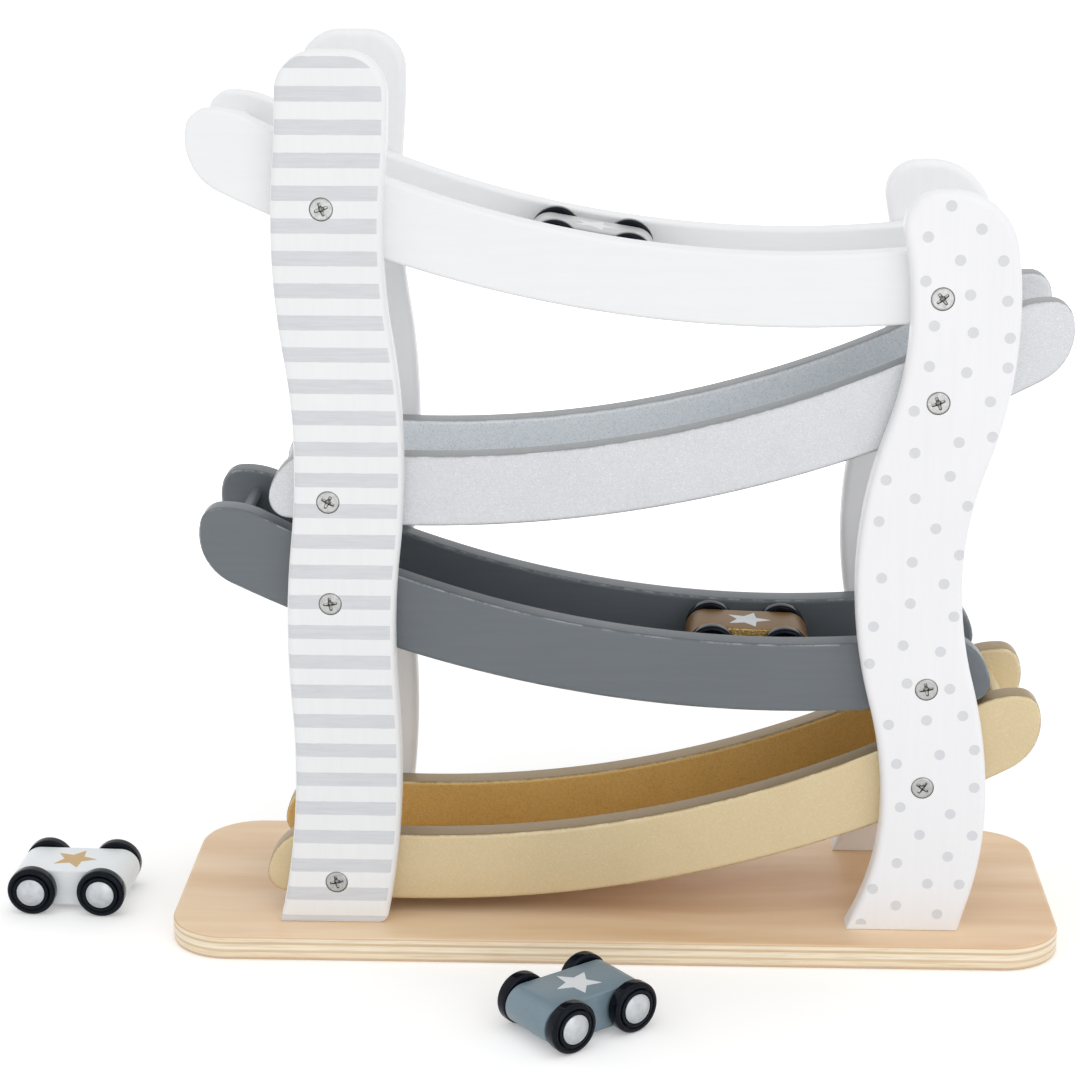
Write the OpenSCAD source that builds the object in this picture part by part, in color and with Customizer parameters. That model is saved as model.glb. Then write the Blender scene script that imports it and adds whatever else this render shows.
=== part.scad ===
// Click clack track toy: four curved wooden tracks, one above the other, run back and
// forth between two pairs of wavy uprights on a plywood board. Two cars stand in the
// tracks and two stand on the floor beside the board.
// Origin: middle of the board's underside. +X right, +Y away from the viewer, +Z up.

/* [Board] */
// Width of the base board
board_w = 320; // [240:1:400]
// Depth of the base board
board_d = 110; // [90:1:160]
// Thickness of the base board
board_t = 9; // [6:0.5:15]
// Corner radius of the base board
board_corner_r = 22; // [5:1:40]

/* [Uprights] */
// Thickness of every upright
upright_t = 10; // [6:0.5:15]
// Width of the left uprights across the grain
left_w = 37.8; // [30:0.1:45]
// Width of the right uprights across the grain
right_w = 36.7; // [30:0.1:45]
// Height of the left uprights above the board
left_h = 311; // [290:1:340]
// Height of the right uprights above the board
right_h = 265.4; // [262:0.1:280]
// Place of the left line of screws
left_x = -99.3; // [-105:0.1:-90]
// Place of the right line of screws
right_x = 108.8; // [100:0.1:112]
// How far the left uprights sway from their line of screws
left_sway = 7.2; // [2:0.1:10]
// How far the right uprights sway from their line of screws
right_sway = 8.5; // [2:0.1:10]
// Rounding of the left uprights' tops
left_top_r = 14; // [6:0.5:18]
// Rounding of the right uprights' tops, inner corner
right_top_inner_r = 12; // [6:0.5:14]
// Rounding of the right uprights' tops, outer corner
right_top_outer_r = 22; // [16:0.5:24]
// Rounding of the left uprights' feet
foot_r = 4; // [1:0.5:6]

/* [Tracks] */
// Radius of the top edge of a track's side
rail_r = 400; // [380:1:430]
// Depth of a track's side at its lowest part
side_h = 25; // [20:0.5:30]
// How much rounder the bottom edge is than the top edge
side_lift = 27; // [5:1:40]
// Thickness of a track's side
side_t = 10; // [6:0.5:14]
// Clear width of a track's channel
channel_w = 42.5; // [38:0.5:50]
// Depth of the channel, from the sides' top edge to the floor
channel_h = 17.5; // [14:0.5:20]
// Thickness of a track's floor
floor_t = 4.5; // [3:0.5:6]
// Depth of the grooves that hold the floor and the end wall
groove = 2; // [1:0.5:4]
// Thickness of the end wall
wall_t = 4; // [3:0.5:6]
// How far the end wall's top lies below the sides' top edge
wall_drop = 7; // [3:0.5:11]
// Place of the white track's lowest point across the board
white_track_x = 60.3; // [50:0.1:70]
// Place of the silver track's lowest point across the board
silver_track_x = -65.1; // [-75:0.1:-55]
// Place of the dark track's lowest point across the board
dark_track_x = 60.3; // [50:0.1:70]
// Place of the gold track's lowest point across the board
gold_track_x = -69.4; // [-80:0.1:-60]
// Height of the white track's lowest point above the floor
white_track_z = 251.3; // [245:0.1:256]
// Height of the silver track's lowest point above the floor
silver_track_z = 180.2; // [174:0.1:186]
// Height of the dark track's lowest point above the floor
dark_track_z = 113; // [107:0.1:119]
// Height of the gold track's lowest point above the floor
gold_track_z = 39; // [36:0.1:45]
// Angle from the lowest point to the tail's shallow round
tail_a = 27.36; // [25:0.01:29]
// Angle from the lowest point to the low end's round
low_a = -7.37; // [-9:0.01:-5]
// Angle from the lowest point to the floor's open end
floor_low_a = -5.6; // [-7:0.1:-3]
// Angle from the lowest point to the middle of the end wall
wall_a = 28.2; // [26:0.1:28.6]
// How far each right-high track is turned on along its own arc
right_turn = 2.2; // [0:0.1:3]
// Radius of the tail's shallow top round
tail_top_r = 30; // [24:1:34]
// Radius of the tail's tip
tip_r = 7; // [5:0.5:9]
// Radius of the tail's lower flank
flank_r = 19.5; // [15:0.5:22]
// Depth of the tail's tip below the top edge
tip_drop = 10.5; // [8:0.5:13]
// Radius of the low end's upper round
low_r = 18.5; // [14:0.5:20]

/* [Screws] */
// Diameter of a screw's head
screw_head_d = 8; // [6:0.1:9]
// Height of a screw's countersunk head
screw_head_h = 2.4; // [1.5:0.1:3.5]
// Diameter of a screw's shank
screw_d = 3.5; // [2.5:0.1:4.5]
// Length of a screw through an upright
screw_l = 18; // [14:0.5:19]
// Length of a screw through the board
board_screw_l = 22; // [16:0.5:24]
// Depth of the screws' line below a track's top edge
screw_drop = 15.5; // [10:0.5:17]
// Space between the two screws under an upright's foot
board_screw_pitch = 18; // [12:1:22]
// Clearance round a screw
screw_gap = 0.05; // [0.02:0.01:0.2]

/* [Cars] */
// Length of a car's body
car_l = 44.4; // [40:0.1:50]
// Width of a car's body
car_w = 22; // [18:0.5:24]
// Height of a car's body
car_h = 14; // [10:0.5:15]
// Distance between a car's axles
wheelbase = 26; // [22:0.5:28]
// Radius of a wheel
wheel_r = 9; // [8:0.1:10]
// Width of a wheel
wheel_w = 5; // [4:0.1:6]
// Gap between a wheel and the body
wheel_gap = 0.5; // [0.3:0.1:1]
// Rounding of a wheel's tread edges
tread_r = 1.3; // [0.5:0.1:2]
// Radius of the ring groove in a wheel's outer face
ring_r = 6.9; // [6.4:0.1:7.2]
// Width and depth of the ring groove
ring_cut = 0.7; // [0.3:0.1:0.9]
// Radius of an axle
axle_r = 1.5; // [1:0.1:2]
// Clearance of an axle in the body's bore
axle_gap = 0.05; // [0.02:0.01:0.1]
// Clearance of a piece pressed on an axle
press_gap = 0.02; // [0.01:0.01:0.05]
// Radius of a hub cap
cap_r = 5.3; // [4:0.1:5.6]
// Height of a hub cap's dome
cap_h = 1.7; // [1:0.1:2.5]
// How far an axle's end reaches into a hub cap
cap_bite = 0.8; // [0.3:0.1:1]
// Gap between a resting wheel and the track's floor
roll_gap = 0.2; // [0.1:0.05:0.4]
// Angle of the silver car up its track from the lowest point
silver_car_a = 9.85; // [0:0.05:20]
// Angle of the bronze car up its track from the lowest point
bronze_car_a = 1.78; // [0:0.05:20]
// Space between the board's left end and the white car
white_car_gap = 20.1; // [5:0.1:60]
// Place of the white car along the floor
white_car_y = -3.4; // [-40:0.1:40]
// Heading of the white car
white_car_yaw = -2; // [-10:0.1:10]
// Place of the blue car across the floor
blue_car_x = -11.4; // [-80:0.1:80]
// Space between the board's front and the blue car, if it headed straight at the board
blue_car_gap = 25.4; // [15:0.1:60]
// Heading of the blue car
blue_car_yaw = 218.5; // [200:0.1:230]

/* [Hidden] */
// One overrun for all cuts
over = 1;
// How far the corners of an outline's filling keep inside it
inset = 2;
// How deep a round reaches into its outline at most
lap = 12;
// How far an arc runs on past its end where a cut or a joint needs it
over_a = 1;
// Facets of the long arcs and of the small rounds
arc_fn = 360;
round_fn = 64;
// Outer faces of the tracks' sides, and of the uprights
side_y = channel_w / 2 + side_t;
face_y = side_y + upright_t;
// The tracks' places, top track first
track_x = [white_track_x, silver_track_x, dark_track_x, gold_track_x];
track_z = [white_track_z, silver_track_z, dark_track_z, gold_track_z];
// Centre height of each track's arc
function arc_z(i) = track_z[i] + rail_r;
// Top tracks one and three rise to the left, the others to the right
function rises_left(i) = i % 2 == 0;
function turn_a(i) = rises_left(i) ? 0 : right_turn;
// The turning points of the uprights' centre lines, from the foot up, as shares
left_z_shares = [-0.196, 0.196, 0.341, 0.556, 0.797];
left_x_shares = [-1.083, 0.694, 0.472, 1, 0.167];
left_top_x_share = 0.5;
right_z_shares = [-0.173, 0.173, 0.494, 0.84];
right_x_shares = [-1.776, 0.506, -0.859, 1];
// Wheel track
wheel_y = car_w / 2 + wheel_gap;
cap_y = wheel_y + wheel_w;
// Radius at which a car's middle travels round a track's arc centre
floor_r = rail_r + channel_h;
roll_r = floor_r - wheel_r - roll_gap;
ride_r = sqrt(roll_r * roll_r - wheelbase * wheelbase / 4);
// The two cars on the floor keep their space from the board
white_car_x = -board_w / 2 - white_car_gap - car_l / 2;
blue_car_y = -board_d / 2 - blue_car_gap - car_l / 2;
// Bottom arc of a track's side
bottom_r = rail_r + side_h + side_lift;
bottom_a = 4;

// Vector helpers
function down(r, a) = [r * sin(a), -r * cos(a)];
function unit(v) = v / norm(v);
function side(v) = [v[1], -v[0]];
// Where two circles cross, on the left of the way from a to b when s is 1
function meet(a, ra, b, rb, s) =
    let (d = norm(b - a), x = (d * d + ra * ra - rb * rb) / (2 * d))
    a + unit(b - a) * x - side(unit(b - a)) * (s * sqrt(ra * ra - x * x));

// A plate of thickness t that stands on edge, its front face at y
module plate(y, t) {
    translate([0, y + t, 0])
        rotate([90, 0, 0])
            linear_extrude(t)
                children();
}

// The part of a disc between its points p and q, which reaches a little way inward. It
// runs on past an end (at_p or at_q is 1) where the outline's next arc is rounder
module round_side(c, r, p, q, at_p, at_q) {
    turn = cross(p - c, q - c) > 0 ? 1 : -1;
    u = unit(p - c + turn * side(unit(p - c)) * over * at_p);
    v = unit(q - c - turn * side(unit(q - c)) * over * at_q);
    root = max(r - lap, r / 2);
    intersection() {
        translate(c) circle(r, $fn = arc_fn);
        polygon([c + u * root, c + u * 3 * r, c + v * 3 * r, c + v * root]);
    }
}

// A wavy band is a chain of S-shapes, each made of two equal arcs between two turning
// points p and q. These give the side to which an S goes, its radius, its half angle,
// the centre of its first (j = 0) or second arc and the step across it at its middle
function s_side(p, q) = q[0] > p[0] ? 1 : -1;
function s_radius(p, q) =
    let (h = (q[1] - p[1]) / 2, d = (q[0] - p[0]) / 2) (h * h + d * d) / (2 * abs(d));
function s_angle(p, q) = asin((q[1] - p[1]) / 2 / s_radius(p, q));
function s_centre(p, q, j) =
    let (v = [s_side(p, q) * s_radius(p, q), 0]) j == 0 ? p + v : q - v;
function s_across(p, q) = s_side(p, q) * unit(s_centre(p, q, 0) - s_centre(p, q, 1));

// Corner points up one edge of a wavy band: e is half its width, negative for its left
function edge(p, e) = [for (k = [0:len(p) - 1])
    each (k < len(p) - 1
        ? [p[k] + [e, 0], (p[k] + p[k + 1]) / 2 + e * s_across(p[k], p[k + 1])]
        : [p[k] + [e, 0]])];
function flip(v) = [for (k = [len(v) - 1:-1:0]) v[k]];

// Where the arc j of the S number k starts: it may run on past its turning point only
// where the next arc is rounder
function s_start(p, k, j, last) =
    let (n = k + (j == 0 ? -1 : 1))
    n > len(p) - 2 ? last : n < 0 ? -over_a
        : s_radius(p[k], p[k + 1]) < s_radius(p[n], p[n + 1]) ? -over_a : 0;

// Direction from the centre of the arc j towards its point at angle t
function s_way(p, k, j, t) =
    (j == 0 ? 1 : -1) * [-s_side(p[k], p[k + 1]) * cos(t), sin(t)];

// The arcs' bulges on the outside of every turn, the last one running on to the angle last
module bulges(p, half, last) {
    for (k = [0:len(p) - 2])
        for (j = [0, 1]) {
            c = s_centre(p[k], p[k + 1], j);
            r = s_radius(p[k], p[k + 1]);
            u = s_way(p, k, j, s_start(p, k, j, last));
            v = s_way(p, k, j, s_angle(p[k], p[k + 1]) + over_a);
            intersection() {
                translate(c) circle(r + half, $fn = arc_fn);
                polygon([c + u * r, c + u * 2 * r, c + v * 2 * r, c + v * r]);
            }
        }
}

// The hollows on the inside of every turn
module hollows(p, half, last) {
    for (k = [0:len(p) - 2])
        for (j = [0, 1]) {
            c = s_centre(p[k], p[k + 1], j);
            r = s_radius(p[k], p[k + 1]);
            u = s_way(p, k, j, s_start(p, k, j, last));
            v = s_way(p, k, j, s_angle(p[k], p[k + 1]) + over_a);
            intersection() {
                translate(c) circle(r - half, $fn = arc_fn);
                polygon([c, c + u * 2 * r, c + v * 2 * r]);
            }
        }
}

// Turning points of an upright's centre line
function turns(x0, sway, xs, h, zs) = [for (k = [0:len(xs) - 1]) [x0 + xs[k] * sway, board_t + zs[k] * h]];

// Outline of a left upright
module left_outline() {
    top = board_t + left_h;
    shoulder = top - left_top_r;
    half = left_w / 2;
    top_x = left_x + left_top_x_share * left_sway;
    p = concat(turns(left_x, left_sway, left_x_shares, left_h, left_z_shares), [[top_x, shoulder]]);
    // Foot: where the outer arc of the first turn meets its round at the board
    r = s_radius(p[0], p[1]);
    c = s_centre(p[0], p[1], 1);
    in_r = r + half - foot_r;
    low = board_t + foot_r - c[1];
    rc = [c[0] + sqrt(in_r * in_r - low * low), board_t + foot_r];
    round_x = half - left_top_r;
    difference() {
        union() {
            polygon(concat(edge(p, half), [[top_x + round_x, top], [top_x - round_x, top]],
                flip(edge(p, -half))));
            bulges(p, half, 0);
            for (s = [-1, 1])
                round_side([top_x + s * round_x, shoulder], left_top_r,
                    [top_x + s * half, shoulder], [top_x + s * round_x, top], 1, 1);
        }
        hollows(p, half, 0);
        translate([left_x - 2 * left_w, board_t - left_h]) square([4 * left_w, left_h]);
        difference() {
            polygon([rc, [rc[0], board_t - over], [rc[0] + 2 * foot_r, board_t - over],
                rc + unit(rc - c) * 2 * foot_r]);
            translate(rc) circle(foot_r, $fn = arc_fn);
        }
    }
}

// Outline of a right upright
module right_outline() {
    top = board_t + right_h;
    half = right_w / 2;
    p = turns(right_x, right_sway, right_x_shares, right_h, right_z_shares);
    n = len(p) - 1;
    // The last turn leans on to the top, where two rounds are tangent to its edges
    r = s_radius(p[n - 1], p[n]);
    c = s_centre(p[n - 1], p[n], 1);
    inner = r - half;
    outer = r + half;
    iz = top - right_top_inner_r - c[1];
    oz = top - right_top_outer_r - c[1];
    id = inner + right_top_inner_r;
    od = outer - right_top_outer_r;
    ic = c + [sqrt(id * id - iz * iz), iz];
    oc = c + [sqrt(od * od - oz * oz), oz];
    it = c + unit(ic - c) * inner;
    ot = c + unit(oc - c) * outer;
    difference() {
        union() {
            polygon(concat(edge(p, half), [ot, [oc[0], top], [ic[0], top], it],
                flip(edge(p, -half))));
            bulges(p, half, -asin(oz / od));
            round_side(oc, right_top_outer_r, ot, [oc[0], top], 1, 1);
            round_side(ic, right_top_inner_r, [ic[0], top], it, 1, 1);
        }
        hollows(p, half, -asin(iz / id) - over_a);
        translate([right_x - 2 * right_w, board_t - right_h]) square([4 * right_w, right_h]);
    }
}

// Outline of a track's side about its arc's centre, its high end to the right
module side_outline() {
    b = -down(side_lift, bottom_a);
    // High end: shallow top round, tip and lower flank, each tangent to the next
    t = down(rail_r + tail_top_r, tail_a);
    p = meet([0, 0], rail_r + tip_drop, t, tail_top_r - tip_r, 1);
    f = meet(b, bottom_r - flank_r, p, flank_r - tip_r, -1);
    t0 = down(rail_r, tail_a);
    t1 = t + unit(p - t) * tail_top_r;
    t2 = f + unit(p - f) * flank_r;
    t3 = b + unit(f - b) * bottom_r;
    // Low end: upper round and lower corner
    u = down(rail_r + low_r, low_a);
    q = meet(b, bottom_r - tip_r, u, low_r - tip_r, -1);
    u0 = down(rail_r, low_a);
    u1 = u + unit(q - u) * low_r;
    u2 = b + unit(q - b) * bottom_r;
    difference() {
        union() {
            intersection() {
                translate(b) circle(bottom_r, $fn = arc_fn);
                polygon([u0, t0, t + unit(p - t) * (tail_top_r - inset), f + unit(p - f) * (flank_r - inset),
                    b + unit(f - b) * (bottom_r - inset), b + unit(f - b) * 2 * bottom_r,
                    b + unit(q - b) * 2 * bottom_r, b + unit(q - b) * (bottom_r - inset),
                    u + unit(q - u) * (low_r - inset)]);
            }
            round_side(t, tail_top_r, t0, t1, 1, 0);
            round_side(p, tip_r, t1, t2, 1, 1);
            round_side(f, flank_r, t2, t3, 0, 1);
            round_side(q, tip_r, u2, u1, 1, 1);
            round_side(u, low_r, u1, u0, 0, 1);
        }
        circle(rail_r, $fn = arc_fn);
    }
}

// Outline of a track's floor, from its open end to behind the end wall
module floor_outline() {
    high_a = wall_a + asin(wall_t / 2 / floor_r);
    far = 1.5 * (floor_r + floor_t);
    intersection() {
        difference() {
            circle(floor_r + floor_t, $fn = arc_fn);
            circle(floor_r, $fn = arc_fn);
        }
        polygon([[0, 0], down(far, floor_low_a), down(far, high_a)]);
    }
}

// Outline of the end wall: it stands on the floor and has a round top. Its groove reaches
// a little into the floor's groove
module wall_outline(reach) {
    top = rail_r + wall_drop;
    intersection() {
        circle(floor_r + reach, $fn = arc_fn);
        rotate(wall_a) {
            translate([-wall_t / 2, -floor_r - over]) square([wall_t, floor_r + over - top - wall_t / 2]);
            translate([0, -top - wall_t / 2]) circle(wall_t / 2, $fn = round_fn);
        }
    }
}

// Moves an outline from its own arc centre to track i
module on_track(i) {
    translate([track_x[i], arc_z(i)])
        mirror([rises_left(i) ? 1 : 0, 0])
            rotate(turn_a(i))
                children();
}

// Height of the screw in track i at place x
function screw_z(i, x) =
    let (r = rail_r + screw_drop, d = x - track_x[i])
    arc_z(i) - sqrt(r * r - d * d);

// A countersunk screw from the origin down along -Z, its head flush with z = 0
module screw(l, gap) {
    translate([0, 0, -screw_head_h])
        cylinder(h = screw_head_h, d1 = screw_d + 2 * gap, d2 = screw_head_d + 2 * gap, $fn = round_fn);
    translate([0, 0, -l - gap])
        cylinder(h = l + gap - screw_head_h / 2, d = screw_d + 2 * gap, $fn = round_fn);
}

// All the screws through the uprights into one side of the tracks, front (s = 1) or back
module screws_at(s, gap) {
    for (x = [left_x, right_x])
        for (i = [0:3])
            translate([x, -s * face_y, screw_z(i, x)])
                rotate([s * 90, 0, 0])
                    screw(screw_l, gap);
}

// Feet of the uprights, where the screws through the board go up
foot_x = [left_x + left_sway * (left_x_shares[0] + left_x_shares[1]) / 2,
    right_x + right_sway * (right_x_shares[0] + right_x_shares[1]) / 2];

// The screws through the board
module board_screws(gap) {
    for (x = foot_x)
        for (k = [-1, 1])
            for (s = [-1, 1])
                translate([x + k * board_screw_pitch / 2, s * (side_y + upright_t / 2), 0])
                    rotate([180, 0, 0])
                        screw(board_screw_l, gap);
}

module base_board() {
    color("burlywood")
        difference() {
            linear_extrude(board_t) {
                square([board_w - 2 * board_corner_r, board_d], center = true);
                square([board_w, board_d - 2 * board_corner_r], center = true);
                for (sx = [-1, 1])
                    for (sy = [-1, 1])
                        translate([sx * (board_w / 2 - board_corner_r), sy * (board_d / 2 - board_corner_r)])
                            circle(board_corner_r, $fn = arc_fn);
            }
            board_screws(screw_gap);
        }
}

module base_screws() {
    color("silver") board_screws(0);
}

module side_screws() {
    color("silver")
        for (s = [-1, 1])
            screws_at(s, 0);
}

// An upright with its screw holes, front (s = 1) or back (s = -1)
module upright(s) {
    color("white")
        difference() {
            plate(s > 0 ? -face_y : side_y, upright_t) children();
            screws_at(s, screw_gap);
            board_screws(screw_gap);
        }
}

// A side of track i, with grooves for the floor and the wall in its inner face
module track_side(i, s, tint) {
    color(tint)
        difference() {
            plate(s > 0 ? -side_y : channel_w / 2, side_t) on_track(i) side_outline();
            plate(-channel_w / 2 - groove, channel_w + 2 * groove) on_track(i) floor_outline();
            plate(-channel_w / 2 - groove, channel_w + 2 * groove) on_track(i) wall_outline(over / 2);
            screws_at(s, screw_gap);
        }
}

module track_floor(i, tint) {
    color(tint)
        plate(-channel_w / 2 - groove, channel_w + 2 * groove) on_track(i) floor_outline();
}

module track_wall(i, tint) {
    color(tint)
        plate(-channel_w / 2 - groove, channel_w + 2 * groove) on_track(i) wall_outline(0);
}

// A car's body lies round its own middle, with two cross bores for the axles
module car_body(tint) {
    r = car_h / 2;
    color(tint)
        difference() {
            plate(-car_w / 2, car_w) {
                square([car_l - 2 * r, car_h], center = true);
                for (s = [-1, 1])
                    translate([s * (car_l / 2 - r), 0]) circle(r, $fn = arc_fn);
            }
            for (s = [-1, 1])
                translate([s * wheelbase / 2, car_w / 2 + over, 0])
                    rotate([90, 0, 0])
                        cylinder(h = car_w + 2 * over, r = axle_r + axle_gap, $fn = round_fn);
        }
}

module axle(s) {
    l = 2 * (cap_y + cap_bite);
    color("silver")
        translate([s * wheelbase / 2, l / 2, 0])
            rotate([90, 0, 0])
                cylinder(h = l, r = axle_r, $fn = round_fn);
}

// One wheel, its inner face at z = 0 and its outer face at z = wheel_w
module wheel() {
    w = wheel_w;
    rotate_extrude($fn = 128)
        difference() {
            union() {
                translate([axle_r + press_gap, 0]) square([wheel_r - tread_r - axle_r - press_gap, w]);
                translate([axle_r + press_gap, tread_r])
                    square([wheel_r - axle_r - press_gap, w - 2 * tread_r]);
                for (z = [tread_r, w - tread_r])
                    translate([wheel_r - tread_r, z]) circle(tread_r, $fn = round_fn);
            }
            translate([ring_r, w]) circle(ring_cut, $fn = round_fn);
        }
}

module wheels(s) {
    color("black")
        for (k = [-1, 1])
            translate([s * wheelbase / 2, k * wheel_y, 0])
                rotate([-k * 90, 0, 0])
                    wheel();
}

// One domed hub cap, its flat face at z = 0, with a blind hole for the axle's end
module cap() {
    r = (cap_r * cap_r + cap_h * cap_h) / (2 * cap_h);
    rotate_extrude($fn = 128)
        difference() {
            intersection() {
                translate([0, cap_h - r]) circle(r, $fn = 720);
                square([cap_r, cap_h]);
            }
            square([axle_r + press_gap, cap_bite + press_gap]);
        }
}

module caps(s) {
    color("silver")
        for (k = [-1, 1])
            translate([s * wheelbase / 2, k * cap_y, 0])
                rotate([-k * 90, 0, 0])
                    cap();
}

// Places of the cars
module in_track(i, a) {
    translate([track_x[i], 0, arc_z(i)])
        rotate([0, a, 0])
            translate([0, 0, -ride_r])
                children();
}

module on_floor(x, y, yaw) {
    translate([x, y, wheel_r])
        rotate([0, 0, yaw])
            children();
}

module silver_car() {
    in_track(0, silver_car_a) children();
}

module bronze_car() {
    in_track(2, bronze_car_a) children();
}

module white_car() {
    on_floor(white_car_x, white_car_y, white_car_yaw) children();
}

module blue_car() {
    on_floor(blue_car_x, blue_car_y, blue_car_yaw) children();
}

base_board();
base_screws();
side_screws();
upright(1) left_outline();  // left_front_upright
upright(-1) left_outline();  // left_back_upright
upright(1) right_outline();  // right_front_upright
upright(-1) right_outline();  // right_back_upright
track_side(0, 1, "snow");  // white_front_side
track_side(0, -1, "snow");  // white_back_side
track_floor(0, "snow");  // white_floor
track_wall(0, "snow");  // white_end_wall
track_side(1, 1, "silver");  // silver_front_side
track_side(1, -1, "silver");  // silver_back_side
track_floor(1, "silver");  // silver_floor
track_wall(1, "silver");  // silver_end_wall
track_side(2, 1, "slategray");  // dark_front_side
track_side(2, -1, "slategray");  // dark_back_side
track_floor(2, "slategray");  // dark_floor
track_wall(2, "slategray");  // dark_end_wall
track_side(3, 1, "goldenrod");  // gold_front_side
track_side(3, -1, "goldenrod");  // gold_back_side
track_floor(3, "goldenrod");  // gold_floor
track_wall(3, "goldenrod");  // gold_end_wall
silver_car() car_body("lightgray");  // silver_car_body
silver_car() axle(1);  // silver_car_front_axle
silver_car() wheels(1);  // silver_car_front_wheels
silver_car() caps(1);  // silver_car_front_caps
silver_car() axle(-1);  // silver_car_rear_axle
silver_car() wheels(-1);  // silver_car_rear_wheels
silver_car() caps(-1);  // silver_car_rear_caps
bronze_car() car_body("peru");  // bronze_car_body
bronze_car() axle(1);  // bronze_car_front_axle
bronze_car() wheels(1);  // bronze_car_front_wheels
bronze_car() caps(1);  // bronze_car_front_caps
bronze_car() axle(-1);  // bronze_car_rear_axle
bronze_car() wheels(-1);  // bronze_car_rear_wheels
bronze_car() caps(-1);  // bronze_car_rear_caps
white_car() car_body("ivory");  // white_car_body
white_car() axle(1);  // white_car_front_axle
white_car() wheels(1);  // white_car_front_wheels
white_car() caps(1);  // white_car_front_caps
white_car() axle(-1);  // white_car_rear_axle
white_car() wheels(-1);  // white_car_rear_wheels
white_car() caps(-1);  // white_car_rear_caps
blue_car() car_body("lightsteelblue");  // blue_car_body
blue_car() axle(1);  // blue_car_front_axle
blue_car() wheels(1);  // blue_car_front_wheels
blue_car() caps(1);  // blue_car_front_caps
blue_car() axle(-1);  // blue_car_rear_axle
blue_car() wheels(-1);  // blue_car_rear_wheels
blue_car() caps(-1);  // blue_car_rear_caps
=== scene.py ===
"""Dresses the click clack track toy: four curved wooden tracks between wavy uprights on a
plywood board, and four small star cars. Lengths are in millimetres until a mesh is made.
+X runs to the right along the tracks, +Y to the back, +Z up, z = 0 is the floor."""
import math

import bpy
import numpy as np
from mathutils import Matrix, Vector
from mathutils.geometry import tessellate_polygon


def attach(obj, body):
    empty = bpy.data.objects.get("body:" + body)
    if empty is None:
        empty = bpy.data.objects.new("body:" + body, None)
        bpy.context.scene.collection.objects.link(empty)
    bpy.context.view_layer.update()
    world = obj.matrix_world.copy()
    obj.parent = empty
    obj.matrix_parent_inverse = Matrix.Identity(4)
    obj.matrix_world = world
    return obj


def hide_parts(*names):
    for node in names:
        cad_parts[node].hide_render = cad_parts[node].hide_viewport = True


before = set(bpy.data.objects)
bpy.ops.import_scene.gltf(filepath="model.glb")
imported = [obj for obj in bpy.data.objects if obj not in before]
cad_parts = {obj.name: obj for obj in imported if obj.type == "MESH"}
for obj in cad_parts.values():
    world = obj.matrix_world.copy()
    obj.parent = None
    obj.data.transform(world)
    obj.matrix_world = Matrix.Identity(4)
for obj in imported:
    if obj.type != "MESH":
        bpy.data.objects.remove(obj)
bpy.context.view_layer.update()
scene = bpy.context.scene
MM = 0.001

# ---------- sizes of the toy
BOARD_W, BOARD_D, BOARD_T, BOARD_CORNER, BOARD_EASE = 320.0, 110.0, 9.0, 22.0, 1.2

# Tracks: radii and angles round the centre of their arc, 0 degrees being straight down
CHANNEL, SIDE_T, UPRIGHT_T = 42.5, 10.0, 10.0
SIDE_Y = CHANNEL / 2 + SIDE_T
FACE_Y = SIDE_Y + UPRIGHT_T
RAIL_R, FLOOR_R, BOTTOM_R = 400.0, 417.5, 452.0
FLOOR_T, GROOVE = 4.5, 2.0
NOSE_ANGLE, TAIL_ANGLE = -7.37, 27.36
FLOOR_ANGLE, WALL_ANGLE = -5.6, 28.2
WALL_HALF, WALL_TOP_R, WALL_SUNK = 2.0, RAIL_R + 7.0, 0.3
TRACKS = {  # lowest point x and z, high end on the left, turn along its arc
    "white": (60.3, 251.3, True, 0.0),
    "silver": (-65.1, 180.2, False, 2.2),
    "dark": (60.3, 113.0, True, 0.0),
    "gold": (-69.4, 39.0, False, 2.2),
}

# Uprights: the middle line's x, its sway, the height over the board and half the width,
# then its turning points from the foot up, as shares of the height and of the sway
LEFT_X, LEFT_SWAY, LEFT_H, LEFT_HALF = -99.3, 7.2, 311.0, 18.9
LEFT_TURNS = np.array([
    (-0.196, -1.083), (0.196, 0.694), (0.341, 0.472), (0.556, 1.0), (0.797, 0.167)])
RIGHT_X, RIGHT_SWAY, RIGHT_H, RIGHT_HALF = 108.8, 8.5, 265.4, 18.35
RIGHT_TURNS = np.array([(-0.173, -1.776), (0.173, 0.506), (0.494, -0.859), (0.84, 1.0)])
UPRIGHT_EASE, FOOT_EASE, EASE_RISE = 2.4, 0.5, 5.0

# Screws: how far below a track's top edge they sit, lengths, countersinks and spacing
SCREW_DROP, SIDE_SCREW_L, BASE_SCREW_L = 15.5, 18.0, 22.0
SIDE_SINK_R, BASE_SINK_R, FOOT_SCREW_STEP = 4.05, 4.1, 9.0
SKIRT_R, HEAD_T, SHANK_R = 1.75, 2.4, 1.7

# Cars
CAR_L, CAR_W, CAR_H, CAR_EASE = 44.4, 22.0, 14.0, 0.6
WHEEL_R, WHEEL_W, WHEELBASE, CAP_H, AXLE_R = 9.0, 5.0, 26.0, 1.7, 1.5
FLOOR_GAP, BODY_GAP = 0.2, 0.5
WHEEL_Y = CAR_W / 2 + BODY_GAP
RIDE_R = math.sqrt((FLOOR_R - WHEEL_R - FLOOR_GAP) ** 2 - WHEELBASE ** 2 / 4)
STAR_R, STAR_WAIST, STAR_SUNK, STAR_PROUD = 8.4, 0.46, 0.25, 0.06


# ---------- plane outlines
def heading(a):
    """Unit vector at a degrees from +X."""
    a = math.radians(a)
    return np.array([math.cos(a), math.sin(a)])


def down(r, a):
    """Point at radius r and angle a (degrees) from straight down, round the origin."""
    a = math.radians(a)
    return np.array([r * math.sin(a), -r * math.cos(a)])


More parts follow.
